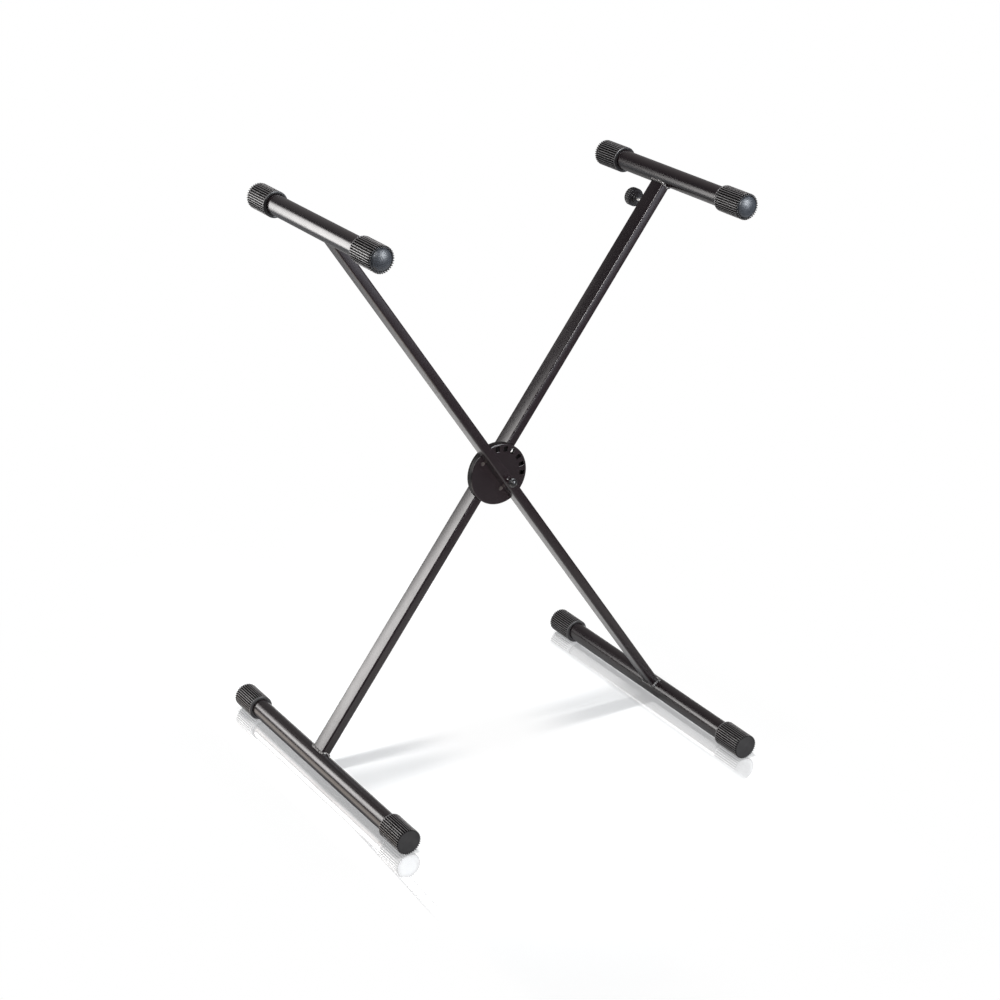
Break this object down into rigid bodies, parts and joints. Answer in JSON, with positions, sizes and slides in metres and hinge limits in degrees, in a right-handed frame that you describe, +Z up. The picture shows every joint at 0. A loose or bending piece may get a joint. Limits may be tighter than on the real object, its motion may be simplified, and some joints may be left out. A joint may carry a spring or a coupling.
{
  "type": "keyboard stand",
  "caption": "X-shaped folding floor stand with round arms and feet, ribbed rubber ends and a slotted locking disc at the pivot, for carrying a keyboard instrument.",
  "frame": {"origin": "on the floor, midway between the feet and midway along them", "axes": "+X to the right across the feet, +Y away from the player along the arms, +Z up"},
  "size_m": [0.6394, 0.538, 0.8804],
  "materials": {
    "black_paint": "satin black paint on steel",
    "rubber": "matt ribbed rubber",
    "plug_plastic": "smooth, slightly glossy",
    "zinc_steel": "bright zinc plate",
    "knob_plastic": "fine satin",
    "nylon": "plain moulded nylon"
  },
  "bodies": {
    "front_leg": {"front_leg_tube": "black_paint", "front_arm_tube": "black_paint", "front_foot_tube": "black_paint", "front_arm_weld": "black_paint", "front_foot_weld": "black_paint", "index_disc": "black_paint", "disc_weld_tacks": "black_paint", "pivot_sleeve": "zinc_steel", "pivot_spacer": "nylon", "front_arm_sleeve_far": "rubber", "front_arm_sleeve_near": "rubber", "front_foot_cap_far": "rubber", "front_foot_cap_near": "rubber", "front_arm_plug_far": "plug_plastic", "front_arm_plug_near": "plug_plastic"},
    "rear_leg": {"rear_leg_tube": "black_paint", "rear_arm_tube": "black_paint", "rear_foot_tube": "black_paint", "rear_arm_weld": "black_paint", "rear_foot_weld": "black_paint", "cover_plate": "black_paint", "pivot_axle": "black_paint", "pivot_washer": "zinc_steel", "pivot_nut": "zinc_steel", "release_spring": "zinc_steel", "rivet_nut": "zinc_steel", "rear_arm_sleeve_far": "rubber", "rear_arm_sleeve_near": "rubber", "rear_foot_cap_far": "rubber", "rear_foot_cap_near": "rubber", "rear_arm_plug_far": "plug_plastic", "rear_arm_plug_near": "plug_plastic"},
    "release": {"release_button": "knob_plastic", "release_rod": "zinc_steel", "release_cross_pin": "zinc_steel", "latch_plate": "zinc_steel", "lock_pin": "zinc_steel"},
    "thumb": {"thumb_knob": "knob_plastic", "thumb_screw": "zinc_steel"}
  },
  "joints": [
    {"name": "leg_fold", "type": "hinge", "parent": "front_leg", "child": "rear_leg", "pos_m": [0, 0, 0.4402], "axis": [0, 1, 0], "range_deg": [-66.01, 60]},
    {"name": "release_push", "type": "slide", "parent": "rear_leg", "child": "release", "axis": [0, 1, 0], "range_m": [-0.003, 0], "stiffness_N_per_m": 800, "springref_m": -0.012},
    {"name": "thumb_turn", "type": "hinge", "parent": "rear_leg", "child": "thumb", "pos_m": [0.27212, 0.06, 0.82163], "axis": [0, 1, 0], "continuous": true}
  ]
}
